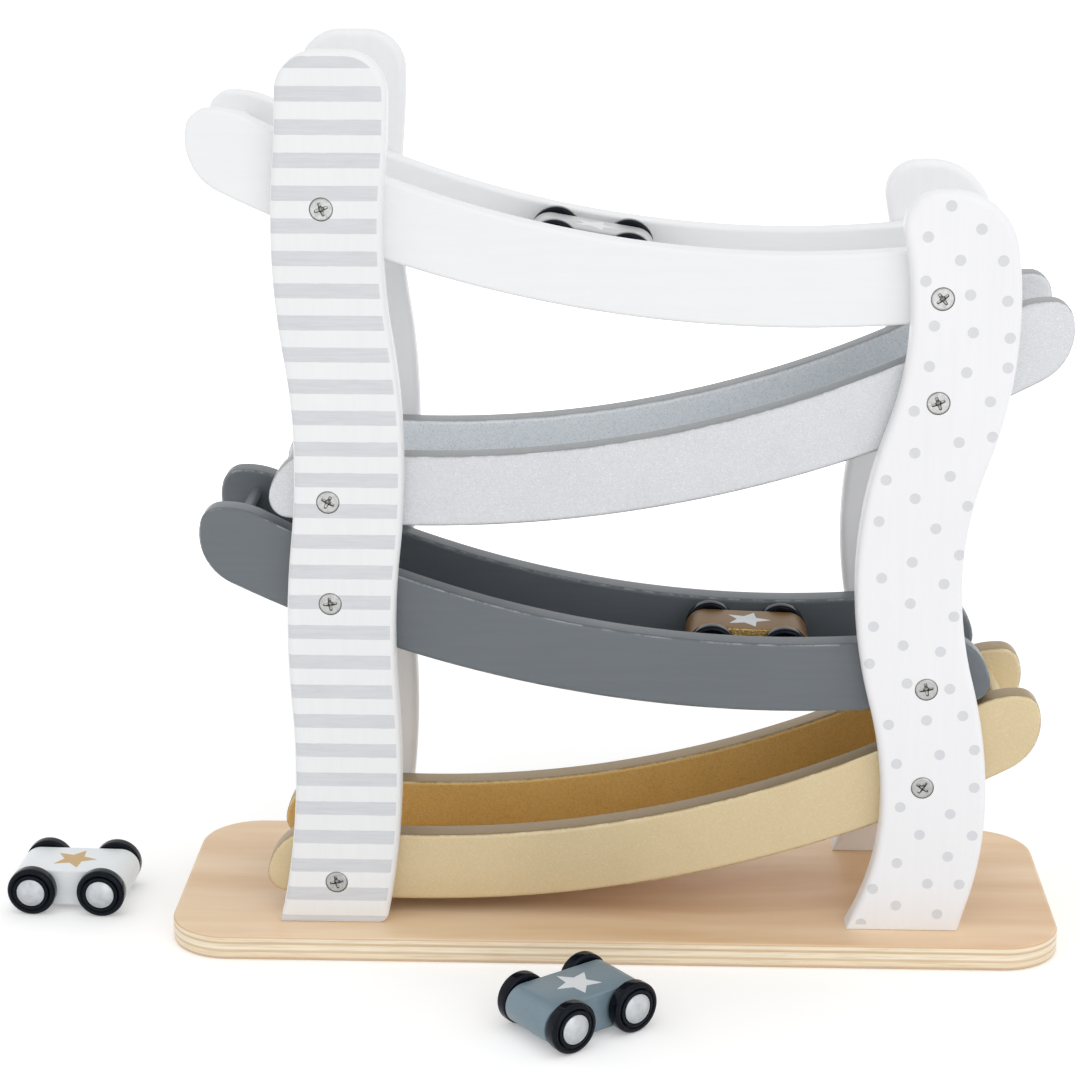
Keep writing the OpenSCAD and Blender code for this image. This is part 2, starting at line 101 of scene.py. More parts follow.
def unit(v):
    return v / np.linalg.norm(v)


def meet(a, ra, b, rb, s):
    """Crossing of two circles, to the left of the way from a to b when s is 1."""
    d = np.linalg.norm(b - a)
    x = (d * d + ra * ra - rb * rb) / (2 * d)
    n = unit(b - a)
    return a + n * x + s * math.sqrt(ra * ra - x * x) * np.array([-n[1], n[0]])


def arc(c, r, p, q, hollow=False, step=2.5, bend=0.14):
    """Points c + r (cos t, sin t) from p up to q along the short way round, with the
    outward normals, which point to the centre on a hollow arc. q itself is left out, and
    no step is longer than step or turns by more than bend."""
    a0 = math.atan2(p[1] - c[1], p[0] - c[0])
    a1 = math.atan2(q[1] - c[1], q[0] - c[0])
    d = (a1 - a0 + math.pi) % (2 * math.pi) - math.pi
    n = max(2, math.ceil(abs(d) * r / step), math.ceil(abs(d) / bend))
    t = a0 + d * np.arange(n) / n
    out = np.stack([np.cos(t), np.sin(t)], 1)
    return c + r * out, -out if hollow else out


def line(p, q, normal, step=6.0):
    """Points of a straight edge from p up to q, without q, all with one normal."""
    p, q = np.array(p, float), np.array(q, float)
    n = max(1, math.ceil(np.linalg.norm(q - p) / step))
    return p + (q - p) * (np.arange(n) / n)[:, None], np.tile(normal, (n, 1))


def chained(parts):
    """The points and the normals of several arcs and lines, each as one array."""
    return [np.concatenate(k) for k in zip(*parts)]


def joined(parts):
    """One closed outline from its arcs and lines, turned so that it runs anticlockwise."""
    p, n = chained(parts)
    x, z = p[:, 0], p[:, 1]
    if np.sum(x * np.roll(z, -1) - z * np.roll(x, -1)) < 0:
        p, n = p[::-1], n[::-1]
    return p, n


def side_outline():
    """Side of a track round its arc's centre: the hollow top edge, a rounded tail at the
    high end, the flatter bottom edge and a rounded nose at the low end, all tangent arcs.
    A small arc's centre lies where two circles, of the differences of the radii, cross."""
    tail_r, tip_r, heel_r, nose_r, chin_r = 30.0, 7.0, 19.5, 18.5, 7.0
    tip_drop, bottom_shift, bottom_lean = 10.5, 27.0, 4.0
    rail_c, bottom_c = np.zeros(2), -down(bottom_shift, bottom_lean)
    tail_c = down(RAIL_R + tail_r, TAIL_ANGLE)
    tip_c = meet(rail_c, RAIL_R + tip_drop, tail_c, tail_r - tip_r, 1)
    heel_c = meet(bottom_c, BOTTOM_R - heel_r, tip_c, heel_r - tip_r, -1)
    nose_c = down(RAIL_R + nose_r, NOSE_ANGLE)
    chin_c = meet(bottom_c, BOTTOM_R - chin_r, nose_c, nose_r - chin_r, -1)
    low, high = down(RAIL_R, NOSE_ANGLE), down(RAIL_R, TAIL_ANGLE)
    tip = tail_c + unit(tip_c - tail_c) * tail_r
    heel = heel_c + unit(tip_c - heel_c) * heel_r
    sole = bottom_c + unit(heel_c - bottom_c) * BOTTOM_R
    chin = bottom_c + unit(chin_c - bottom_c) * BOTTOM_R
    nose = nose_c + unit(chin_c - nose_c) * nose_r
    return joined([
        arc(rail_c, RAIL_R, low, high, hollow=True), arc(tail_c, tail_r, high, tip),
        arc(tip_c, tip_r, tip, heel), arc(heel_c, heel_r, heel, sole),
        arc(bottom_c, BOTTOM_R, sole, chin), arc(chin_c, chin_r, chin, nose),
        arc(nose_c, nose_r, nose, low)])


def floor_outline():
    """Floor strip between two circles, from the open low end to behind the end wall. The
    normal at each of its corners is the sum of its two edges' normals."""
    lo, hi = FLOOR_ANGLE, WALL_ANGLE + math.degrees(math.asin(WALL_HALF / FLOOR_R))
    under_r = FLOOR_R + FLOOR_T
    a, b, c, d = down(FLOOR_R, lo), down(FLOOR_R, hi), down(under_r, hi), down(under_r, lo)
    end_lo, end_hi = -heading(lo), heading(hi)
    parts = [arc(np.zeros(2), FLOOR_R, a, b, hollow=True), line(b, c, end_hi),
             arc(np.zeros(2), under_r, c, d), line(d, a, end_lo)]
    corners = end_lo - unit(a), end_hi - unit(b), end_hi + unit(c), end_lo + unit(d)
    for (_, normals), corner in zip(parts, corners):
        normals[0] = corner
    return joined(parts)


def wall_outline():
    """End wall: two straight faces, sunk a little into the floor's curve, and a half-round
    top, all turned to the wall's angle round the arc's centre."""
    ca, sa = heading(WALL_ANGLE)
    turn = lambda x, z: np.array([x * ca - z * sa, x * sa + z * ca])
    half, shoulder = WALL_HALF, -WALL_TOP_R - WALL_HALF
    low = -math.sqrt(FLOOR_R ** 2 - half ** 2) - WALL_SUNK
    left, right, c = turn(-half, low), turn(half, low), turn(0, shoulder)
    a, b, top = turn(half, shoulder), turn(-half, shoulder), turn(0, -WALL_TOP_R)
    parts = [line(left, right, turn(0, -1)), line(right, a, turn(1, 0)), arc(c, half, a, top),
             arc(c, half, top, b), line(b, left, turn(-1, 0))]
    parts[0][1][0] = turn(-1, -1)
    parts[1][1][0] = turn(1, -1)
    return joined(parts)


def middle_line(x, sway, h, turns):
    """Turning points of an upright's middle line, from their shares of height and sway."""
    return list(np.stack([x + sway * turns[:, 1], BOARD_T + h * turns[:, 0]], 1))


def s_parts(p, q):
    """The S of two equal arcs between turning points p and q, upright at both: with h and
    d half the rise and half the shift, the radius is (h^2 + d^2) / 2|d|. Also given are
    the two centres and the unit vector across the middle."""
    h, d = (q[1] - p[1]) / 2, (q[0] - p[0]) / 2
    r = (h * h + d * d) / (2 * abs(d))
    s = 1 if d > 0 else -1
    c1, c2 = np.array([p[0] + s * r, p[1]]), np.array([q[0] - s * r, q[1]])
    return r, c1, c2, s * unit(c1 - c2)


def wavy_edge(p, e, top=None):
    """Arcs up one edge of a wavy band of half width |e| (left when e is negative)."""
    parts = []
    for k in range(len(p) - 1):
        r, c1, c2, across = s_parts(p[k], p[k + 1])
        mid = (p[k] + p[k + 1]) / 2 + e * across
        lo, hi = p[k] + [e, 0], p[k + 1] + [e, 0]
        if k == len(p) - 2 and top is not None:
            hi = top
        for c, a, b in ((c1, lo, mid), (c2, mid, hi)):
            inner = np.sign(c[0] - a[0]) == np.sign(e)
            parts.append(arc(c, r - abs(e) if inner else r + abs(e), a, b, hollow=inner))
    return parts


def cut_at(part, z):
    """Keeps the points of an arc above height z, with the crossing point put in."""
    p, n = part
    above = p[:, 1] > z + 1.0
    k = int(np.argmax(above)) if above.any() else len(p)
    if k == 0:
        return part
    if k == len(p):
        return p[:0], n[:0]
    w = (z - p[k - 1, 1]) / (p[k, 1] - p[k - 1, 1])
    start = p[k - 1] + w * (p[k] - p[k - 1])
    return np.concatenate([start[None], p[k:]]), np.concatenate([n[k - 1:k], n[k:]])


def left_outline():
    """Left upright: a wavy band with a round top, a flat foot and one rounded foot corner,
    which touches the foot and the band's outer arc from inside."""
    half, top_r, foot_r, foot, top = LEFT_HALF, 14.0, 4.0, BOARD_T, BOARD_T + LEFT_H
    top_x, shoulder, rx = LEFT_X + 0.5 * LEFT_SWAY, top - top_r, half - top_r
    pts = middle_line(LEFT_X, LEFT_SWAY, LEFT_H, LEFT_TURNS) + [np.array([top_x, shoulder])]
    r, _, c, _ = s_parts(pts[0], pts[1])
    reach, rise = r + half - foot_r, foot + foot_r - c[1]
    round_c = np.array([c[0] + math.sqrt(reach ** 2 - rise ** 2), foot + foot_r])
    touch = c + unit(round_c - c) * (r + half)
    right = [cut_at(k, touch[1]) for k in wavy_edge(pts, half)]
    left_p, left_n = chained([cut_at(k, foot) for k in wavy_edge(pts, -half)])
    left_n[0] = [-1.0, -1.0]
    base = line(left_p[0], [round_c[0], foot], [0, -1])
    crown = [
        arc((top_x + rx, shoulder), top_r, (top_x + half, shoulder), (top_x + rx, top)),
        line([top_x + rx, top], [top_x - rx, top], [0, 1]),
        arc((top_x - rx, shoulder), top_r, (top_x - rx, top), (top_x - half, shoulder))]
    return joined([(base[0][1:], base[1][1:]), arc(round_c, foot_r, (round_c[0], foot), touch)]
                  + right + crown + [(left_p[::-1], left_n[::-1])])


def right_outline():
    """Right upright: a wavy band that leans in at the top under two different rounds, each
    of which touches the flat top and the band's arc on its side."""
    half, in_top, out_top, foot, top = RIGHT_HALF, 12.0, 22.0, BOARD_T, BOARD_T + RIGHT_H
    pts = middle_line(RIGHT_X, RIGHT_SWAY, RIGHT_H, RIGHT_TURNS)
    r, _, c, _ = s_parts(pts[-2], pts[-1])
    inner, outer = r - half, r + half
    iz, oz = top - in_top - c[1], top - out_top - c[1]
    ic = c + [math.sqrt((inner + in_top) ** 2 - iz ** 2), iz]
    oc = c + [math.sqrt((outer - out_top) ** 2 - oz ** 2), oz]
    it, ot = c + unit(ic - c) * inner, c + unit(oc - c) * outer
    right_p, right_n = chained([cut_at(k, foot) for k in wavy_edge(pts, half, top=ot)])
    left_p, left_n = chained([cut_at(k, foot) for k in wavy_edge(pts, -half, top=it)])
    right_n[0], left_n[0] = [1.0, -1.0], [-1.0, -1.0]
    base = line(left_p[0], right_p[0], [0, -1])
    return joined([
        (base[0][1:], base[1][1:]), (right_p, right_n), arc(oc, out_top, ot, (oc[0], top)),
        line([oc[0], top], [ic[0], top], [0, 1]), arc(ic, in_top, (ic[0], top), it),
        (left_p[::-1], left_n[::-1])])


def round_rect(w, d, r):
    """Rectangle with quarter-round corners, each followed by the straight edge to the next."""
    x, y = w / 2 - r, d / 2 - r
    parts = []
    for c, a, after in (((x, y), 0, (-x, y + r)), ((-x, y), 90, (-x - r, -y)),
                        ((-x, -y), 180, (x, -y - r)), ((x, -y), 270, (x + r, y))):
        p, q = c + r * heading(a), c + r * heading(a + 90)
        parts += [arc(c, r, p, q, step=1.5), line(q, after, heading(a + 90), step=8.0)]
    return joined(parts)


# ---------- surfaces
def round_angles(n):
    """n equal steps once round, in radians."""
    return np.arange(n) * 2 * math.pi / n


def smooth(x):
    """0 below 0 and 1 above 1, with 3x^2 - 2x^3 between."""
    x = np.clip(x, 0, 1)
    return x ** 2 * (3 - 2 * x)


def outward(verts, faces):
    """Turns every face round if the closed surface's volume comes out negative: the sum
    over the faces' triangles of a . (b x c)."""
    volume = 0.0
    for size in {len(f) for f in faces}:
        f = np.array([k for k in faces if len(k) == size])
        volume += np.sum(verts[f[:, :1]] * np.cross(verts[f[:, 1:-1]], verts[f[:, 2:]]))
    return faces if volume > 0 else [f[::-1] for f in faces]


def grid_faces(rings, n, closed_rings=False):
    """Quads between neighbouring rings of n points each; closed_rings joins last to first."""
    k = np.arange(rings if closed_rings else rings - 1)[:, None]
    i = np.arange(n)[None]
    a, b = k * n, (k + 1) % rings * n
    j = (i + 1) % n
    return np.stack([a + i, b + i, b + j, a + j], -1).reshape(-1, 4).tolist()


def fan(tip, start, n, flip=False):
    """Triangles from a tip to the ring of n points that begins at start."""
    i = start + np.arange(n)
    j = start + (np.arange(n) + 1) % n
    return np.stack([np.full(n, tip)] + ([j, i] if flip else [i, j]), 1).tolist()


def plate(outline, y0, y1, ease, holes_front=(), holes_back=(), steps=5):
    """A flat board cut to an outline: rings of points run round it from the front face over
    a quarter-round edge of radius ease (one value, or one for each point), across the
    thickness and over the back edge. Faces are filled round blind holes (x, z, radius)."""
    hole_points, hole_start, hole_depth, face_margin = 40, 0.05, 3.0, 0.5
    p, n = outline
    count = len(p)
    ease = np.broadcast_to(np.asarray(ease, float), (count,))
    a = np.linspace(0, math.pi / 2, steps + 1)
    inset = np.concatenate([[1.0], 1 - np.sin(a)])
    extra = np.concatenate([[face_margin], np.zeros(steps + 1)])
    depth = np.concatenate([[0.0], 1 - np.cos(a)])
    rings = []
    for start, sense in ((y0, 1), (y1, -1)):
        for i, e, d in list(zip(inset, extra, depth))[::sense]:
            q = p - n * (ease * i + e)[:, None]
            rings.append(np.stack([q[:, 0], start + sense * ease * d, q[:, 1]], 1))
    verts = np.concatenate(rings)
    faces = grid_faces(len(rings), count)
    for ring, y, sense, holes in ((0, y0, 1, holes_front), (len(rings) - 1, y1, -1, holes_back)):
        loops, index = [rings[ring]], list(range(ring * count, (ring + 1) * count))
        for hx, hz, hr in holes:
            t = hole_start + round_angles(hole_points)
            rim = np.stack([hx + hr * np.cos(t), np.full(len(t), y), hz + hr * np.sin(t)], 1)
            start = len(verts)
            verts = np.concatenate([verts, rim, rim + [0, sense * hole_depth, 0]])
            loops.append(rim)
            index += list(range(start, start + hole_points))
            i = np.arange(hole_points)
            j = (i + 1) % hole_points
            wall = np.stack([i, j, hole_points + j, hole_points + i], 1) + start
            faces += wall[:, ::sense].tolist()
            faces.append(list(range(start + hole_points, start + 2 * hole_points))[::sense])
        flat = tessellate_polygon([[Vector(v) for v in loop] for loop in loops])
        tris = np.array(index)[np.array(flat)]
        a, b, c = (verts[tris[:, k]] for k in range(3))
        if np.cross(b - a, c - a)[:, 1].sum() * sense > 0:
            tris = tris[:, ::-1]
        faces += tris.tolist()
    return verts, faces


def lathe(profile, n=72):
    """A profile of (radius, height) points turned once round the Y axis. A profile that
    starts and ends on the axis closes in two poles; any other one is joined to itself."""
    prof = np.asarray(profile, float)
    poles = prof[0, 0] == 0 and prof[-1, 0] == 0
    body = prof[1:-1] if poles else prof
    t = round_angles(n)
    r, y = body[:, :1], np.repeat(body[:, 1:], n, 1)
    verts = np.stack([r * np.cos(t), y, r * np.sin(t)], -1).reshape(-1, 3)
    faces = grid_faces(len(body), n, closed_rings=not poles)
    if poles:
        first, last = len(verts), len(verts) + 1
        verts = np.concatenate([verts, [[0, prof[0, 1], 0], [0, prof[-1, 1], 0]]])
        faces += fan(first, 0, n) + fan(last, (len(body) - 1) * n, n, flip=True)
    return verts, faces


def prism(points, y0, y1):
    """A thin flat shape of any outline (x, z) between y0 and y1."""
    p, n = points, len(points)
    verts = np.concatenate([np.stack([p[:, 0], np.full(n, y), p[:, 1]], 1) for y in (y0, y1)])
    return verts, [list(range(n)), list(range(n, 2 * n))[::-1]] + grid_faces(2, n)


def screw_head(turn):
    """Countersunk head seen from in front: a polar grid whose height is a flat crown with a small
    chamfer, less a cross of two tapering slots that deepen to the middle. Also given is each point's
    painted shade, which stands for the shade and dark reflections in the recess: highest on the slots'
    walls and at the rim."""
    n, slot_half, slot_taper, slot_reach = 96, 0.72, 0.13, 2.45
    slot_depth, slot_rise, crown = 1.55, 0.42, 0.05
    radii = np.concatenate([np.linspace(0.18, 2.7, 20), np.linspace(2.9, 3.75, 5), [3.9]])
    t = round_angles(n)
    r = np.repeat(radii[:, None], n, 1)
    u, v = r * np.cos(t), r * np.sin(t)
    slot = lambda along, across: smooth(
        (slot_half - slot_taper * np.abs(along) - np.abs(across)) / 0.16) * smooth(
        (slot_reach - np.abs(along)) / 0.3)
    cross = np.maximum(slot(u, v), slot(v, u))
    depth = cross * (slot_depth - slot_rise * r) + 0.35 * smooth((1.05 - r) / 0.4)
    y = depth + 0.25 * smooth((r - 3.3) / 0.6) - crown
    a = t + math.radians(turn)
    head = np.stack([r * np.cos(a), y, r * np.sin(a)], -1).reshape(-1, 3)
    skirt = np.stack([SKIRT_R * np.cos(a), np.full(n, HEAD_T), SKIRT_R * np.sin(a)], 1)
    poles = [[0, y[0].mean() + 0.1, 0], [0, HEAD_T, 0]]
    verts = np.concatenate([head, skirt, poles])
    faces = grid_faces(len(radii) + 1, n) + fan(len(verts) - 2, 0, n)
    faces += fan(len(verts) - 1, len(head), n, flip=True)
    painted_shade = np.ones(len(verts))
    # Painted shade and dark reflection, strongest on the slots' walls and at the rim
    wall = 3.4 * cross * (1 - cross) + 0.45 * cross * smooth((1.3 - r) / 0.6)
    painted_shade[:len(head)] = np.maximum(wall, 0.8 * smooth((r - 3.55) / 0.25)).ravel()
    return (verts, faces), painted_shade


def placed(shape, move=None):
    """A surface moved by a function of its whole array of points, faces kept outward."""
    verts, faces = shape
    if move:
        verts = move(verts)
    return verts, outward(verts, faces)


def merged(shapes):
    """Several surfaces as one: each one's faces count on from the points before it."""
    verts, faces, base = [], [], 0
    for v, f in shapes:
        verts.append(v)
        faces += [[k + base for k in face] for face in f]
        base += len(v)
    return np.concatenate(verts), faces


def into_scene(name, data):
    """A new object that holds a mesh, a lamp or a camera."""
    obj = bpy.data.objects.new(name, data)
    scene.collection.objects.link(obj)
    return obj


def piece(name, shape, material, body, nodes=(), painted_shade=None):
    """Makes the mesh object, smooth but for edges over the sharp angle, with its material, parents it
    to the empty of the body that carries it and hides the nodes that it stands for."""
    sharp = math.radians(38)
    verts, faces = shape
    mesh = bpy.data.meshes.new(name)
    mesh.from_pydata((verts * MM).tolist(), [], faces)
    mesh.polygons.foreach_set("use_smooth", np.ones(len(mesh.polygons), bool))
    mesh.set_sharp_from_angle(angle=sharp)
    # The painted-shade mark of a screw's recess and rim is kept on the points
    if painted_shade is not None:
        mark = mesh.attributes.new("painted_shade", "FLOAT", "POINT")
        mark.data.foreach_set("value", painted_shade.astype(np.float32))
    mesh.update()
    mesh.materials.append(material)
    obj = into_scene(name, mesh)
    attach(obj, body)
    if nodes:
        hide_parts(*nodes)


# ---------- materials
class Maker:
    """Short calls to put nodes into a tree and join them."""

    def __init__(self, tree):
        self.tree = tree

    def put(self, kind, values=None, **props):
        """A node with its properties, and its inputs set to values or joined to sockets."""
        n = self.tree.nodes.new("ShaderNode" + kind)
        for k, v in props.items():
            setattr(n, k, v)
        for k, v in (values or {}).items():
            if isinstance(v, bpy.types.NodeSocket):
                self.link(v, n.inputs[k])
            else:
                n.inputs[k].default_value = v
        return n

    def link(self, a, b):
        self.tree.links.new(a, b)

    def math(self, op, a, b=0.0, clamp=False):
        return self.put("Math", {0: a, 1: b}, operation=op, use_clamp=clamp).outputs[0]

    def times(self, a, b):
        return self.math("MULTIPLY", a, b)

    def span(self, value, lo, hi, out_lo=0.0, out_hi=1.0):
        return self.put("MapRange", {0: value, 1: lo, 2: hi, 3: out_lo, 4: out_hi}).outputs[0]

    def mix(self, factor, a, b):
        return self.put("Mix", {0: factor, 6: a, 7: b}, data_type="RGBA").outputs[2]

    def place(self):
        return self.put("TexCoord").outputs["Object"]

    def axis(self, vector, k):
        return self.put("SeparateXYZ", {0: vector}).outputs[k]

    def lean(self, k):
        """How far the surface looks along one axis, either way."""
        return self.math("ABSOLUTE", self.axis(self.put("NewGeometry").outputs["Normal"], k))

    def vector(self, op, a, b):
        return self.put("VectorMath", {0: a, 1: b}, operation=op).outputs[0]

    def noise(self, vector, scale, detail=2.0, rough=0.5, out=0):
        values = {"Vector": vector, "Scale": scale, "Detail": detail, "Roughness": rough}
        return self.put("TexNoise", values).outputs[out]

    def streaks(self, vector, stretch, detail=4.0, rough=0.6):
        """Noise drawn out: its scale along each axis is the stretch."""
        return self.noise(self.vector("MULTIPLY", vector, stretch), 1.0, detail, rough)

    def use(self, group, **values):
        """A shader group with its inputs, whose names have spaces for underscores."""
        values = {k.replace("_", " "): v for k, v in values.items()}
        return self.put("Group", values, node_tree=group).outputs


def new_group(name, inputs, outputs):
    """An empty shader group with named sockets, (name, kind, default): its maker, what it
    is given and what it puts out."""
    tree = bpy.data.node_groups.new(name, "ShaderNodeTree")
    for sock, kind, value in inputs:
        s = tree.interface.new_socket(sock, in_out="INPUT", socket_type="NodeSocket" + kind)
        s.default_value = value
    for sock, kind in outputs:
        tree.interface.new_socket(sock, in_out="OUTPUT", socket_type="NodeSocket" + kind)
    given, out = tree.nodes.new("NodeGroupInput"), tree.nodes.new("NodeGroupOutput")
    return Maker(tree), given.outputs, out.inputs


def rgb(r, g, b):
    return (r, g, b, 1.0)


def srgb(r, g, b):
    """A colour read on screen (0 to 255) as the linear colour that renders as it."""
    f = lambda c: c / 12.92 if c <= 0.04045 else ((c + 0.055) / 1.055) ** 2.4
    return rgb(*(f(k / 255) for k in (r, g, b)))


FINISH = [("Color", "Color"), ("Roughness", "Float"), ("Height", "Float")]


def grain_group():
    """Paint over wood: long faint fibres along one direction, a soft mottle and a fine
    orange-peel, given out as a colour, a roughness and a height."""
    m, given, out = new_group("PaintedGrain", [
        ("Color", "Color", rgb(0.8, 0.8, 0.8)), ("Shade", "Color", rgb(0.7, 0.7, 0.7)),
        ("Fibre Scale", "Vector", (40.0, 400.0, 400.0)), ("Fibre", "Float", 0.3),
        ("Roughness", "Float", 0.45)], FINISH)
    co = m.place()
    fibre = m.streaks(co, given["Fibre Scale"])
    mottle = m.noise(co, 22.0)
    peel = m.noise(co, 900.0, 1.0)
    mask = m.times(m.span(fibre, 0.35, 0.7), given["Fibre"])
    mask = m.math("ADD", mask, m.span(mottle, 0.3, 0.7, 0.0, 0.25), clamp=True)
    m.link(m.mix(mask, given["Color"], given["Shade"]), out["Color"])
    rough = m.math("ADD", given["Roughness"], m.span(mottle, 0.3, 0.7, -0.05, 0.06))
    m.link(rough, out["Roughness"])
    m.link(m.math("ADD", m.times(fibre, 0.6), m.times(peel, 0.25)), out["Height"])
    return m.tree


def flake_group():
    """Metallic paint: two sizes of cells give each grain its own brightness, a few of
    them sparkle, and the surface is finely rough."""
    m, given, out = new_group("MetalFlakes", [
        ("Color", "Color", rgb(0.6, 0.6, 0.6)), ("Dark", "Color", rgb(0.4, 0.4, 0.4)),
        ("Bright", "Color", rgb(0.9, 0.9, 0.9)), ("Amount", "Float", 0.5)], FINISH)
    co = m.place()
    cells = lambda scale, channel: m.put("SeparateColor", {
        0: m.put("TexVoronoi", {"Vector": co, "Scale": scale}).outputs["Color"]}).outputs[channel]
    value, patch = cells(2900.0, 0), cells(1300.0, 1)
    cloud = m.noise(co, 60.0, 3.0)
    dark = m.times(m.span(value, 0.55, 0.0), given["Amount"])
    dark = m.math("ADD", dark, m.times(m.span(patch, 0.5, 0.0, 0.0, 0.5), given["Amount"]))
    dark = m.math("ADD", dark, m.span(cloud, 0.45, 0.75, 0.0, 0.18), clamp=True)
    spark = m.times(m.math("GREATER_THAN", value, 0.9), given["Amount"])
    base = m.mix(dark, given["Color"], given["Dark"])
    m.link(m.mix(spark, base, given["Bright"]), out["Color"])
    m.link(m.span(value, 0.0, 1.0, 0.34, 0.52), out["Roughness"])
    m.link(m.times(value, 0.5), out["Height"])
    return m.tree


GRAIN = grain_group()
FLAKES = flake_group()


def shader(name, **plain):
    """A material with a Principled BSDF; plain holds the sockets that never change."""
    mat = bpy.data.materials.new(name)
    mat.use_nodes = True
    bsdf = mat.node_tree.nodes["Principled BSDF"]
    for k, v in plain.items():
        bsdf.inputs[k.replace("_", " ")].default_value = v
    return mat, Maker(mat.node_tree), bsdf.inputs


def dress(m, bsdf, color, rough, height, distance, strength):
    """Joins a finish's colour, roughness and height to its shader."""
    m.link(color, bsdf["Base Color"])
    m.link(rough, bsdf["Roughness"])
    n = m.put("Bump", {"Height": height, "Distance": distance, "Strength": strength})
    m.link(n.outputs[0], bsdf["Normal"])


def arris_lines(m, color, arris_tone, amount):
    """The colour mixed with a second tone in broken lines along the rounded arrises, where the surface
    looks neither to the front or back nor along the edge."""
    lean = m.lean(1)
    arris = m.times(m.span(lean, 0.45, 0.62), m.span(lean, 0.92, 0.8))
    broken = m.noise(m.place(), 140.0, 4.0, 0.7)
    on_lines = m.times(m.times(arris, m.span(broken, 0.45, 0.6)), amount)
    return m.mix(on_lines, color, arris_tone)


def painted(name, color, shade, fibres=(30.0, 500.0, 500.0), fibre=0.3, rough=0.42, arris_tone=None):
    """Plain satin paint on wood, its grain showing faintly along the longest way."""
    mat, m, bsdf = shader(name)
    g = m.use(GRAIN, Color=color, Shade=shade, Fibre_Scale=fibres, Fibre=fibre, Roughness=rough)
    tone = arris_lines(m, g["Color"], arris_tone, 0.7) if arris_tone else g["Color"]
    dress(m, bsdf, tone, g["Roughness"], g["Height"], 0.0001, 0.35)
    return mat


def striped():
    """White upright with printed grey stripes on its outer face: ink covers a share of each
    pitch down from the top stripe, and its edges wander a little."""
    top, pitch, share, soft, wander = 308.7 * MM, 11.0 * MM, 0.478, 0.012, 0.07 * MM
    mat, m, bsdf = shader("StripedPrint")
    g = m.use(GRAIN, Color=srgb(240, 241, 242), Shade=srgb(233, 234, 235),
              Fibre_Scale=(500.0, 500.0, 30.0), Fibre=0.35, Roughness=0.46)
    co = m.place()
    wobble = m.span(m.noise(co, 260.0), 0.3, 0.7, -wander, wander)
    z = m.math("ADD", m.axis(co, 2), wobble)
    phase = m.math("FRACT", m.math("DIVIDE", m.math("SUBTRACT", top + 2 * pitch, z), pitch))
    band = m.times(m.span(phase, 0.0, soft), m.span(phase, share, share - soft))
    # The print runs further round the edges that look to the left
    side = m.axis(m.put("NewGeometry").outputs["Normal"], 0)
    reach = m.span(side, -0.35, -0.05, 40.3 * MM, 41.1 * MM)
    on_face = m.math("GREATER_THAN", m.math("ABSOLUTE", m.axis(co, 1)), reach)
    streak = m.streaks(co, (70.0, 70.0, 900.0), 4.0, 0.65)
    grey = m.mix(m.span(streak, 0.38, 0.66), srgb(216, 218, 222), srgb(208, 210, 214))
    tone = m.mix(m.times(band, on_face), g["Color"], grey)
    dress(m, bsdf, tone, g["Roughness"], g["Height"], 0.0001, 0.3)
    return mat


def metallic(name, wall_x, face, inner, edge, bright, amount=0.5):
    """Metal-flake paint, its tones given as (tone, dark): the outer faces and the tails beyond the end
    wall take the face tone; the faces in the channel take the inner tone, painted light that lifts the
    shaded channel, brighter than the face on the silver and a warmer gold on the gold; and the narrow
    edges of the sides take the duller edge tone, painted shade where they look away from the light
    from the front."""
    mat, m, bsdf = shader(name, Metallic=0.3)
    flakes = lambda tone, shine, share: m.use(
        FLAKES, Color=tone[0], Dark=tone[1], Bright=shine, Amount=amount * share)
    # Painted light and shade: the inner tone lifts the shaded channel, the edge tone darkens the
    # narrow edges
    outer, low, deep = flakes(face, bright, 1), flakes(edge, face[0], 0.5), flakes(inner, face[0], 1.6)
    co = m.place()
    y = m.math("ABSOLUTE", m.axis(co, 1))
    in_channel = m.span(y, (CHANNEL / 2 + 0.1) * MM, (CHANNEL / 2 - 0.1) * MM)
    flat = m.math("MAXIMUM", m.span(m.lean(1), 0.5, 0.9), in_channel)
    outside = m.span(y, 26.0 * MM, 27.0 * MM)
    tail = m.span(m.axis(co, 0), (wall_x - 3) * MM, wall_x * MM)
    broad = m.mix(m.math("MAXIMUM", outside, tail), deep["Color"], outer["Color"])
    tone = arris_lines(m, m.mix(flat, low["Color"], broad), bright, 0.8)
    dress(m, bsdf, tone, outer["Roughness"], outer["Height"], 0.00008, 0.3)
    return mat


def car_paint(name, color, shade, metal=0.0, glitter_and_sheen=None, coat=0.1):
    """Satin paint on a small body, brushed along it. On metal paint the two flat faces beside the
    wheels take lighter golden flakes: real sparkling flakes, with a painted sheen where those faces
    catch the light."""
    mat, m, bsdf = shader(name, Metallic=metal, Coat_Weight=coat, Coat_Roughness=0.2)
    g = m.use(GRAIN, Color=color, Shade=shade, Fibre_Scale=(200.0, 900.0, 900.0), Fibre=0.35,
              Roughness=0.38)
    tone = g["Color"]
    # The flat faces beside the wheels take lighter golden flakes: sparkle, and a painted sheen
    if glitter_and_sheen:
        f = m.use(FLAKES, Color=glitter_and_sheen, Dark=color, Bright=srgb(250, 236, 190), Amount=0.8)
        tone = m.mix(m.span(m.lean(1), 0.4, 0.8), tone, f["Color"])
    dress(m, bsdf, tone, g["Roughness"], g["Height"], 0.0001, 0.4)
    return mat


